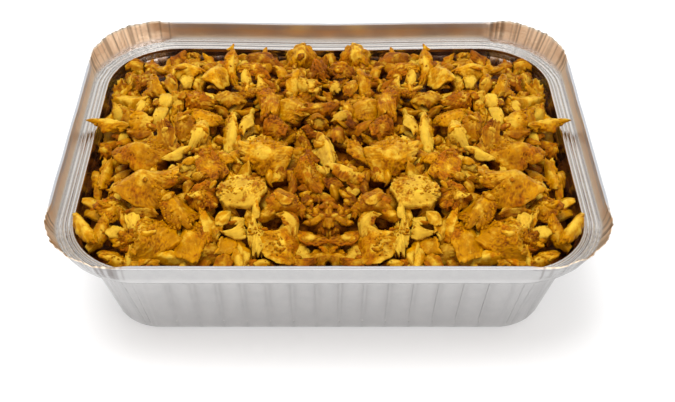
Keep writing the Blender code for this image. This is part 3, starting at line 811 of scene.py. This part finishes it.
# The slices that stand out on the left half of the photograph, all but the middle strip's mirrored
# to the right: centre, length, width and slant in its pixels and degrees, form, tone, and level
SLICES = (
    (135.6, 66.4, 20, 11, 5, "block", "orange", 1.0),
    (153, 65.5, 16, 10, 5, "slab", "brown", 0.2),
    (130, 81, 16, 15, 90, "slab", "olive", 0.5),
    (141, 81, 17, 11, 80, "frayed", "brown", 0.3),
    (153, 85, 29, 15, 70, "slab", "gold", 1.2),
    (171, 82, 23, 11, 62, "pod", "gold", 1.2),
    (186, 68, 36, 14, 10, "frayed", "yellow", 1.0),
    (192, 57, 15, 12, 0, "block", "orange", 0.4),
    (187, 81, 13, 11, 90, "block", "pale", 0.8),
    (165.5, 100, 15, 13, 85, "block", "pale", 0.8),
    (177, 99.5, 17, 13, 60, "slab", "pale", 1.0),
    (195, 99.5, 29, 20, 30, "slab", "orange", 0.8),
    (128, 98, 37, 21, 15, "slab", "yellow", 1.4),
    (120, 115.5, 23, 20, 40, "dome", "pale", 0.4),
    (141, 121, 20, 18, 0, "block", "yellow", 1.4),
    (158, 115, 23, 13, 88, "strip", "pale", 0.9),
    (166, 134, 31, 16, 75, "slab", "olive", 1.2),
    (184, 124.5, 31, 19, 88, "slab", "orange", 1.3),
    (199.5, 134, 29, 15, 110, "strip", "pale", 1.3),
    (118, 135, 12, 8, 0, "knob", "red", 0.2),
    (140.5, 132.5, 25, 9, 0, "pod", "brown", 0.9),
    (140, 152, 46, 36, 10, "dome", "gold", 1.2),
    (147.5, 182, 60, 38, 8, "dome", "gold", 2.2),
    (105, 151, 14, 12, 60, "knob", "orange", 0.9),
    (106, 174, 34, 11, 96, "strip", "gold", 0.9),
    (121, 167, 15, 13, 0, "slab", "brown", -0.4),
    (114, 209, 28, 22, 0, "knob", "orange", 1.0),
    (93, 206, 10, 9, 0, "knob", "orange", 0.6),
    (142, 210, 28, 12, 5, "slab", "olive", -0.3),
    (174, 152, 26, 12, -28, "wedge", "pale", 1.1),
    (190, 163, 26, 11, -35, "wedge", "pale", 1.0),
    (188, 176, 20, 15, -15, "slab", "pale", -0.4),
    (176, 208, 46, 25, 55, "slab", "gold", 1.2),
    (231, 65, 34, 13, 92, "strip", "yellow", 1.4),
    (215, 75, 25, 22, 0, "dome", "yellow", 1.2),
    (264, 60, 46, 15, 25, "slab", "red", 0.9),
    (254, 70, 30, 12, 20, "frayed", "orange", 1.0),
    (245.5, 79, 16, 9, 60, "wedge", "pale", 1.0),
    (259, 82, 14, 9, 60, "wedge", "pale", 1.0),
    (249, 90, 29, 16, 0, "frayed", "olive", 0.8),
    (229, 99, 29, 15, 0, "slab", "olive", 0.8),
    (293, 85, 29, 12, 88, "strip", "yellow", 1.2),
    (307.5, 85, 20, 19, 30, "frayed", "pale", 1.0),
    (321, 70, 19, 15, 70, "knob", "brown", 0.8),
    (270.5, 103, 33, 18, 86, "block", "orange", 1.4),
    (291, 107, 29, 23, 20, "slab", "yellow", 1.2),
    (275, 129, 25, 21, 10, "dome", "orange", 1.2),
    (317, 122, 19, 9, 10, "wedge", "pale", 1.0),
    (310, 133, 14, 10, 10, "knob", "red", 0.2),
    (232, 132.5, 37, 15, 94, "slab", "pale", 1.4),
    (247, 123, 29, 12, -62, "wedge", "pale", 1.6),
    (208.5, 117, 29, 20, 20, "slab", "yellow", 1.2),
    (264, 156, 45, 32, 5, "knob", "yellow", 1.4),
    (213, 166, 35, 28, 80, "slab", "orange", 1.2),
    (225.5, 158, 17, 13, 0, "slab", "yellow", 1.4),
    (239, 191, 55, 28, -22, "wedge", "pale", 2.2),
    (200, 197, 28, 24, 0, "knob", "orange", 0.8),
    (222.5, 218, 18, 12, -50, "pod", "yellow", 1.0),
    (212, 229, 31, 22, 60, "slab", "olive", 0.8),
    (190, 241, 41, 30, 80, "dome", "gold", 1.2),
    (237, 233, 21, 13, -20, "wedge", "pale", 1.2),
    (225.5, 247, 22, 16, -40, "wedge", "gold", 1.1),
    (237, 259.5, 18, 12, 80, "pod", "yellow", 1.0),
    (257, 237, 31, 17, 88, "frayed", "pale", 1.2),
    (280, 247, 35, 33, 20, "dome", "yellow", 1.4),
    (285, 203, 35, 23, 5, "dome", "gold", 1.4),
    (289, 220, 31, 14, 50, "slab", "pale", 1.4),
    (311.5, 237, 31, 14, 25, "slab", "orange", 1.2),
    (305, 255, 16, 13, 0, "slab", "pale", 0.8),
    (100, 234.5, 38, 15, -68, "pod", "gold", 1.4),
    (117, 230, 21, 15, 20, "slab", "pale", 0.7),
    (128, 239, 18, 15, 30, "knob", "orange", 0.5),
    (133, 222, 17, 13, 88, "wedge", "pale", 0.8),
    (143, 231, 19, 18, 0, "dome", "pale", 1.1),
    (153, 241, 45, 26, -30, "block", "gold", 1.9),
    (118, 259, 37, 14, 8, "frayed", "orange", 0.8),
    (180, 260, 52, 13, 3, "strip", "yellow", 0.8),
    (256, 209, 17, 7, 85, "strip", "pale", 1.4),
    (266, 214, 18, 13, 0, "slab", "orange", 0.6),
    (204, 226, 31, 13, 70, "strip", "yellow", 1.3),
    (206, 250, 40, 22, 5, "slab", "olive", 0.6),
    (246, 258, 16, 7, 80, "wedge", "pale", 1.2),
    (251, 262, 12, 9, 0, "knob", "orange", 1.0),
    (264, 262, 19, 9, 5, "slab", "yellow", 1.0),
    (300, 263, 34, 9, 5, "slab", "orange", 0.9),
    (318, 257, 20, 14, 0, "knob", "gold", 0.9),
    (325, 247, 16, 10, 80, "slab", "yellow", 1.0),
    (146, 262, 30, 9, 2, "slab", "gold", 0.9),
    (304, 109, 18, 12, -20, "slab", "pale", 1.1),
)

# More slices of the middle strip, some of them on its right side
MIDDLE_SLICES = (
    (348.5, 172, 41, 13, 34, "wedge", "pale", 1.8),
    (327, 151, 43, 15, 75, "strip", "pale", 1.6),
    (337, 134, 17, 15, 80, "slab", "orange", 1.4),
    (320, 107, 30, 15, -15, "frayed", "orange", 1.0),
    (335, 87, 11, 11, 60, "knob", "pale", 1.0),
    (350, 87, 18, 12, -55, "slab", "yellow", 1.2),
    (347, 108, 16, 13, 70, "slab", "yellow", 1.1),
    (341, 114, 22, 10, -35, "wedge", "pale", 1.3),
    (351, 124, 11, 9, 60, "knob", "red", 0.9),
    (306, 141, 16, 9, 40, "slab", "red", -0.2),
    (313, 155, 18, 11, 60, "slab", "red", 0.3),
    (309, 173, 34, 25, 85, "slab", "orange", 1.4),
    (332, 183, 18, 12, 20, "slab", "olive", 0.4),
    (358, 152, 30, 15, 50, "strip", "yellow", 1.2),
    (341, 71, 24, 13, 25, "frayed", "orange", 0.9),
)


def make_slices():
    """The batches of slices by their group: those of the tables, then those between and under them."""
    rng = np.random.default_rng(77)
    fine = {name: Batch() for name in ("golden", "pale", "browned", "frayed", "filler", "middle")}
    group = {"gold": "golden", "yellow": "golden", "olive": "golden", "pale": "pale"}
    for px, py, long_px, wide_px, slant, form, tone, level in SLICES:
        name = "frayed" if form in ("frayed", "knob") else group.get(tone, "browned")
        if px > MIDDLE_PX[0] and py < MIDDLE_PX[1]:
            name = "middle"
        add_slice(fine[name], rng, px, py, long_px, wide_px, slant, form, tone, level)
    for row in MIDDLE_SLICES:
        add_slice(fine["middle"], rng, *row)

    # The slices between and under those, by rule
    forms = ("slab", "strip", "strip", "wedge", "frayed", "strip", "slab", "frayed")
    tones = ("gold", "orange", "yellow", "pale", "olive", "brown", "gold", "yellow")
    layers = ((0.0125, -1.4, 13, 20, FILLER_SPACING[0]), (0.0100, -0.45, 8, 15, FILLER_SPACING[1]))
    for pitch, level, low, high, spacing in layers:
        rows = int(2 * MOUTH_Y / (pitch * 0.87)) + 1
        columns = int(MOUTH_X / pitch) + 1
        for row in range(rows + 1):
            for column in range(columns + 1):
                x = -MOUTH_X + 0.004 + (column + 0.5 * (row % 2)) * pitch + rng.uniform(-0.3, 0.3) * pitch
                y = -MOUTH_Y + 0.004 + row * pitch * 0.87 + rng.uniform(-0.3, 0.3) * pitch
                middle = in_middle(x, y)
                if (x > 0.002 and not middle) or wall_distance(x, y) < 0.0035:
                    continue
                form = forms[rng.integers(len(forms))]
                tone = tones[rng.integers(len(tones))]
                length = rng.uniform(low, high)
                width = length * rng.uniform(0.28, 0.52)
                thick = max(1.7, FORMS[form].thick * width)
                shape = slice_shape(rng, form, length, width, thick, spacing)
                turn = turn_matrix(*(rng.uniform(*span) for span in FILLER_TURNS))
                at_wall = 1 - smooth(wall_distance(x, y), 0.006, 0.016)
                place = np.array([x, y, float(mound(x, y)) + level * LEVEL + 0.0021 * float(at_wall)])
                lay(fine["middle" if middle else "filler"], rng, shape, turn, place, tone)
    return fine


def surface_tree(batches):
    points = np.concatenate([p for batch in batches for p in batch.points])
    quads, total = [], 0
    for batch in batches:
        for q in batch.quads:
            quads.append(q + total)
        total += batch.total
    return BVHTree.FromPolygons(points.tolist(), np.concatenate(quads).tolist())


def drop(tree, x, y):
    """Place and normal of the surface met from above, each None where there is none."""
    return tree.ray_cast(Vector((x, y, 0.09)), Vector((0, 0, -1)))[:2]


def make_chips(batches, middle):
    """Small torn bits that lie on and between the slices. Those of the middle strip join it."""
    rng = np.random.default_rng(33)
    tree = surface_tree(batches)
    batch = Batch()
    forms = ("slab", "wedge", "frayed", "strip", "slab")
    tones = ("gold", "yellow", "pale", "orange", "gold", "olive")
    while len(batch.points) < CHIPS:
        x, y = rng.uniform(-MOUTH_X, MIDDLE), rng.uniform(-MOUTH_Y, MOUTH_Y)
        if wall_distance(x, y) < 0.004 or (x > -0.001 and not in_middle(x, y)):
            continue
        hit, normal = drop(tree, x, y)
        if hit is None or rng.uniform() > (0.06 if mound(x, y) - hit.z < 0.0005 else 0.9):
            continue
        form = forms[rng.integers(len(forms))]
        length = rng.uniform(3.2, 7.5)
        width = length * rng.uniform(0.35, 0.75)
        shape = slice_shape(rng, form, length, width, rng.uniform(1.0, 1.8), CHIP_SPACING)
        up = np.array(normal) * 0.6 + np.array((0.0, -0.25, 0.8)) + rng.normal(0, 0.25, 3)
        up /= np.linalg.norm(up)
        heading = rng.uniform(0, 2 * math.pi)
        long = np.array((math.cos(heading), math.sin(heading), 0.0))
        long -= up * (long @ up)
        long /= np.linalg.norm(long)
        turn = np.stack([long, np.cross(up, long), up], 1)
        tone = tones[rng.integers(len(tones))]
        lay(middle if in_middle(x, y) else batch, rng, shape, turn, np.array(hit) + up * 0.0004, tone)
    return batch


def add_tips(batch):
    """Slices that reach out: two over the ledge on the left, mirrored to the right, and the back peak."""
    rng = np.random.default_rng(9)
    over = LEDGE + 0.0034
    for x, y, z, length, width, thick, heading, form, tone in (
        (-0.0945, 0.0112, over + 0.0006, 19.5, 7.2, 4.0, 2.9, "frayed", "yellow"),
        (-0.0957, -0.0545, over + 0.0012, 22.0, 5.5, 3.2, 2.14, "strip", "yellow"),
        (-0.0130, 0.0625, LEDGE + 0.0022, 16.0, 13.5, 12.0, 1.2, "knob", "yellow"),
    ):
        shape = slice_shape(rng, form, length, width, thick, SPACING)
        turn = turn_matrix(heading, 0.0, 0.1, 0.0 if form != "knob" else 0.3)
        points = shape.points / 1000 @ turn.T + (x, y, z)
        outside = wall_distance(points[:, 0], points[:, 1]) < 0.0015
        points[:, 2] = np.where(outside, np.maximum(points[:, 2], LEDGE + 0.0012), points[:, 2])
        batch.add(points, shape.quads, tint(rng, tone, shape), shape.grain)


# Where crumbs gather, in the photograph's pixels
DRIFTS = (
    (149, 107), (153, 146), (114, 209), (200, 197), (190, 226), (165, 190), (232, 196), (128, 239),
    (250, 96), (262, 148), (310, 170), (196, 100), (212, 150), (120, 258), (275, 250), (322, 80),
    (305, 205), (186, 118), (141, 84), (255, 232), (246, 68), (296, 130), (222, 118), (167, 222),
)


def make_crumbs(batches, middle):
    """Crumbs and grains of spice that lie on the slices, in drifts. Those of the middle strip join it."""
    rng = np.random.default_rng(15)
    tree = surface_tree(batches)
    batch = Batch()
    for number in range(CRUMBS):
        if number % 5 < 4:
            px, py = DRIFTS[rng.integers(len(DRIFTS))]
            place, _ = on_heap(px + rng.normal(0, 7), py + rng.normal(0, 5), 0.002)
            x, y = place[:2]
        else:
            x, y = rng.uniform(-MOUTH_X, MIDDLE), rng.uniform(-MOUTH_Y, MOUTH_Y)
        if (x > 0 and not in_middle(x, y)) or wall_distance(x, y) < 0.003:
            continue
        hit, normal = drop(tree, x, y)
        if hit is None or normal.z < 0.25:
            continue
        size = rng.uniform(0.40, 0.95) * (1.7 if rng.uniform() < 0.10 else 1.0)
        direction, cube, quads = cube_sphere(3 if size > 1.0 else 2)
        seed = int(rng.integers(1 << 20))
        shape = (direction * 0.5 + cube * 0.5) * rng.uniform(0.5, 1.3, 3) * size / 2
        shape *= 1 + 0.45 * noise(direction * 1.9 + seed % 97, seed)[:, None]
        turn = turn_matrix(rng.uniform(0, 2 * math.pi), 0, rng.uniform(-1, 1), rng.uniform(-1, 1))
        points = shape / 1000 @ turn.T + np.array(hit) + np.array(normal) * size * 0.00012
        brown = rng.uniform(0.08, 0.48)
        mix = np.tile((brown, 0.1, rng.uniform(0.45, 1.0)), (len(points), 1))
        (middle if in_middle(x, y) else batch).add(points, quads, mix, shape + rng.uniform(-40, 40, 3))
    return batch


def make_core(material):
    """What lies under the slices, as far as the gaps let one see, tinted dark brown as painted shade."""
    places = stations(10, 32)
    rings = []
    for out, height in ((-0.030, 0.0009), (-0.0070, 0.0009), (-0.0046, 0.0026), (-0.0022, 0.0060)):
        rings.append(tray_ring(places, out, height))
    for height in np.linspace(0.010, LEDGE - 0.0105, 7):
        rings.append(tray_ring(places, -0.0016, height))
    top = [tray_ring(places, -inset, LEDGE) for inset in (0.004, 0.008, 0.013, 0.019, 0.0285)]
    last = top[-1]
    for share in (0.8, 0.6, 0.4, 0.2, 0.02):
        top.append(last * (share, share, 1))
    for ring in top:
        ring[:, 2] = mound(ring[:, 0], ring[:, 1]) - 0.0062 + 0.0010 * fractal(ring / 0.006, 2)
    points, quads = closed_tube(rings + top)
    # Mostly browned and dim: painted shade for the gaps
    mix = np.tile((0.9, 0.0, 0.1), (len(points), 1))
    return mesh_object("heap_core", points, quads, material, (("mix", mix), ("grain", points * 1000)))


# Materials
class Graph:
    """Nodes of a material or of the world. An input takes a number, a colour or a node's output."""

    def __init__(self, owner, shader):
        owner.use_nodes = True
        self.nodes = owner.node_tree.nodes
        self.links = owner.node_tree.links
        self.shader = self.nodes[shader]

    def feed(self, node, inputs):
        for key, value in inputs.items():
            if isinstance(value, bpy.types.NodeSocket):
                self.links.new(value, node.inputs[key])
            else:
                node.inputs[key].default_value = value
        return node

    def node(self, kind, inputs, **settings):
        node = self.nodes.new(kind)
        for key, value in settings.items():
            setattr(node, key, value)
        return self.feed(node, inputs)

    def math(self, operation, a, b=0.0, c=0.0, clamp=False):
        inputs = {0: a, 1: b, 2: c}
        return self.node("ShaderNodeMath", inputs, operation=operation, use_clamp=clamp).outputs[0]

    def blend(self, factor, a, b):
        return self.node("ShaderNodeMix", {0: factor, 6: a, 7: b}, data_type="RGBA").outputs[2]

    def ramp(self, value, low, high, start=0.0, end=1.0):
        """From start to end, smoothly, as the value goes from low to high."""
        inputs = {"Value": value, "From Min": low, "From Max": high, "To Min": start, "To Max": end}
        return self.node("ShaderNodeMapRange", inputs, interpolation_type="SMOOTHSTEP").outputs["Result"]

    def mottle(self, vector, scale, detail, roughness):
        inputs = {"Vector": vector, "Scale": scale, "Detail": detail, "Roughness": roughness}
        return self.node("ShaderNodeTexNoise", inputs).outputs[0]

    def attribute(self, name):
        return self.node("ShaderNodeAttribute", {}, attribute_name=name).outputs["Vector"]

    def parts(self, vector):
        return self.node("ShaderNodeSeparateXYZ", {0: vector}).outputs

    def bump(self, strength, distance, height):
        inputs = {"Strength": strength, "Distance": distance, "Height": height}
        return self.node("ShaderNodeBump", inputs).outputs[0]


def rgb(*levels):
    """A colour given as the eye names it, from 0 to 255, for a shader."""
    return tuple(((c / 255 + 0.055) / 1.055) ** 2.4 if c > 10 else c / 255 / 12.92 for c in levels) + (1.0,)


def meat_material():
    meat = bpy.data.materials.new("chicken")
    g = Graph(meat, "Principled BSDF")
    grain = g.attribute("grain")
    brown, pale, bright = g.parts(g.attribute("mix"))

    def about(value, amount):
        """A noise value as a swing round nought."""
        return g.math("MULTIPLY_ADD", value, amount, -0.5 * amount)

    stretched = g.node("ShaderNodeMapping", {"Vector": grain, "Scale": (0.16, 1.1, 1.1)})
    moved = g.node("ShaderNodeMapping", {"Vector": grain, "Location": (7.3, 1.9, 4.4)})
    thread = g.mottle(stretched.outputs[0], 1.5, 5.0, 0.62)
    cloud = g.mottle(grain, 0.24, 3.0, 0.55)
    dust = g.mottle(moved.outputs[0], 0.36, 4.0, 0.62)
    fleck = g.mottle(grain, 1.7, 4.0, 0.72)
    # Lightness from the bright part of mix, which carries painted highlight and painted shade, with fibre
    # and random tone on it
    level = g.math("ADD", g.math("MULTIPLY_ADD", bright, 0.66, 0.14), about(thread, 0.42))
    level = g.math("ADD", level, about(cloud, 1.15), clamp=True)
    gold = g.blend(level, rgb(110, 52, 0), rgb(199, 137, 0))
    cream = g.blend(level, rgb(150, 98, 0), rgb(222, 181, 56))
    crust = g.blend(level, rgb(72, 26, 0), rgb(186, 106, 0))
    pale_at = g.ramp(g.math("ADD", pale, about(dust, -2.0)), 0.26, 0.88)
    base = g.blend(pale_at, gold, cream)
    dusted = g.math("ADD", about(dust, 1.9), about(fleck, 1.0))
    # Browning from the brown part of mix: partly real crust and spice, partly painted shade in hollows and
    # low in the heap
    brown_at = g.ramp(g.math("ADD", brown, dusted), 0.22, 0.80)
    base = g.blend(brown_at, base, crust)
    dots = g.ramp(fleck, 0.68, 0.76)
    base = g.blend(g.math("MULTIPLY", dots, 0.25), base, rgb(110, 46, 0))
    rubble = g.math("MULTIPLY", fleck, g.math("MULTIPLY_ADD", brown_at, 0.8, 0.12))
    looks = {
        "Base Color": base,
        "Roughness": g.math("MULTIPLY_ADD", cloud, 0.3, 0.17),
        "Specular IOR Level": 0.10,
        "Subsurface Weight": 0.10,
        "Subsurface Radius": (1.0, 0.5, 0.08),
        "Subsurface Scale": 0.002,
        "Normal": g.bump(0.5, 0.0006, g.math("MULTIPLY_ADD", thread, 0.35, rubble)),
    }
    g.feed(g.shader, looks)
    return meat


def foil_material():
    foil = bpy.data.materials.new("foil")
    g = Graph(foil, "Principled BSDF")
    position = g.node("ShaderNodeNewGeometry", {}).outputs["Position"]
    crumple, inner, crease = g.parts(g.attribute("crumple"))
    rise, painted_food_reflection, _ = g.parts(g.attribute("rise"))
    grain = g.mottle(position, 900.0, 3.0, 0.6)
    crinkle = g.mottle(position, 190.0, 4.0, 0.6)
    # Lit and shaded copies of one foil: the outer wall and outer flange are painted darker as painted shade,
    # the ledge and the inner brim lighter as painted light
    wall = g.blend(crinkle, rgb(176, 176, 177), rgb(195, 194, 193))
    band = g.blend(crinkle, rgb(166, 166, 167), rgb(183, 182, 181))
    ledge = g.blend(crinkle, rgb(232, 229, 226), rgb(244, 241, 237))
    upper = g.blend(crinkle, rgb(224, 227, 232), rgb(234, 236, 240))
    # A warm tan painted on the brim as a reflection of the food
    mirrored = g.blend(crinkle, rgb(252, 228, 198), rgb(255, 236, 210))
    brim = g.blend(painted_food_reflection, g.blend(rise, ledge, upper), mirrored)
    tone = g.blend(inner, g.blend(rise, wall, band), brim)
    # Painted shade: dark lines in the ledge's grooves, under the roll and down the corner creases
    tone = g.blend(g.math("MULTIPLY", crease, 0.62), tone, rgb(70, 52, 40))
    flange = g.math("MULTIPLY", rise, inner)
    soft = g.math("MULTIPLY", crinkle, g.math("MULTIPLY_ADD", crumple, 0.5, 0.08))
    height = g.math("MULTIPLY_ADD", g.math("MULTIPLY", grain, crumple), 0.9, soft)
    looks = {
        "Base Color": tone,
        "Metallic": 1.0,
        "Roughness": g.math("MULTIPLY_ADD", flange, 0.20, g.math("MULTIPLY_ADD", crinkle, 0.14, 0.15)),
        "Normal": g.bump(0.55, 0.0005, height),
    }
    g.feed(g.shader, looks)
    return foil


# Stage: powers in watts, the floor's own glow, half its side, and the camera's sensor
KEY_POWER = 7.9
FILL_POWER = 1.2
FLOOR_GLOW = 0.355
FLOOR_HALF = 3.0
SENSOR = 36.0


def make_floor():
    white = bpy.data.materials.new("floor")
    g = Graph(white, "Principled BSDF")
    speckle = g.node("ShaderNodeTexNoise", {"Scale": 30.0, "Detail": 2.0}).outputs[0]
    looks = {
        "Base Color": g.blend(speckle, (0.69, 0.69, 0.69, 1), (0.71, 0.71, 0.71, 1)),
        "Emission Color": (0.96, 1.0, 1.03, 1.0),
        "Emission Strength": FLOOR_GLOW,
        "Roughness": 0.9,
        "Specular IOR Level": 0.1,
    }
    g.feed(g.shader, looks)
    corners = [(x * FLOOR_HALF, y * FLOOR_HALF, 0) for x, y in ((-1, -1), (1, -1), (1, 1), (-1, 1))]
    mesh_object("floor", corners, [(0, 1, 2, 3)], white)


def make_world():
    """A soft sky: dimmer higher up but bright right overhead, brighter at the sides, tan low in front."""
    world = bpy.data.worlds.new("studio")
    bpy.context.scene.world = world
    g = Graph(world, "Background")
    place = g.node("ShaderNodeTexCoord", {}).outputs["Generated"]
    across, away, up = g.parts(place)
    cloud = g.node("ShaderNodeTexNoise", {"Vector": place, "Scale": 3.0, "Detail": 1.0}).outputs[0]
    ceiling = g.math("ADD", g.ramp(up, 0.62, 0.84, 0.84, 0.28), g.ramp(up, 0.86, 0.97, 0.0, 1.1))
    clouded = g.math("MULTIPLY", ceiling, g.ramp(cloud, 0.38, 0.62, 0.88, 1.10))
    beside = g.ramp(g.math("ABSOLUTE", across), 0.12, 0.55, 0.94, 1.22)
    tan = g.math("MULTIPLY", g.ramp(away, 0.0, 0.5, 1.0, 0.0), g.ramp(up, 0.45, 0.75, 1.0, 0.0))
    looks = {
        "Color": g.blend(tan, (1.0, 1.0, 1.0, 1.0), (0.93, 0.74, 0.62, 1.0)),
        "Strength": g.math("MULTIPLY", clouded, beside),
    }
    g.feed(g.shader, looks)


def area(name, place, size_x, size_y, power):
    """A soft light aimed at the heap."""
    light = bpy.data.lights.new(name, "AREA")
    light.shape = "RECTANGLE"
    light.size = size_x
    light.size_y = size_y
    light.energy = power
    obj = bpy.data.objects.new(name, light)
    obj.location = place
    direction = Vector((0, 0, 0.03)) - Vector(place)
    obj.rotation_euler = direction.to_track_quat("-Z", "Y").to_euler()
    bpy.context.scene.collection.objects.link(obj)
    return obj


def make_camera():
    scene = bpy.context.scene
    camera = bpy.data.cameras.new("camera")
    camera.sensor_width = SENSOR
    camera.lens = FOCAL_PX * SENSOR / FRAME_PX[0]
    camera.shift_x = (FRAME_PX[0] / 2 - CENTRE_PX[0]) / FRAME_PX[0]
    camera.clip_start = 0.01
    view = bpy.data.objects.new("camera", camera)
    view.location = CAMERA
    view.rotation_euler = (math.pi / 2 - PITCH, 0, 0)
    scene.collection.objects.link(view)
    scene.camera = view
    scene.view_settings.view_transform = "Standard"
    scene.view_settings.look = "None"


make_floor()
make_world()
key = area("key", (-0.12, -0.06, 0.95), 0.6, 0.6, KEY_POWER)
key.visible_glossy = False
area("fill", (0.60, -0.70, 0.60), 0.8, 0.6, FILL_POWER)
make_camera()
make_tray(foil_material())
meat = meat_material()
batches = make_slices()
add_tips(batches["golden"])
batches["chips"] = make_chips(list(batches.values()), batches["middle"])
batches["crumbs"] = make_crumbs(list(batches.values()), batches["middle"])
pieces = [make_core(meat)]
for title, batch in batches.items():
    points, quads, mix, grain = batch.joined() if title == "middle" else batch.mirrored()
    pieces.append(mesh_object("chicken_" + title, points, quads, meat, (("mix", mix), ("grain", grain))))
for piece in pieces:
    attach(piece, "root")
    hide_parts("chicken_heap")
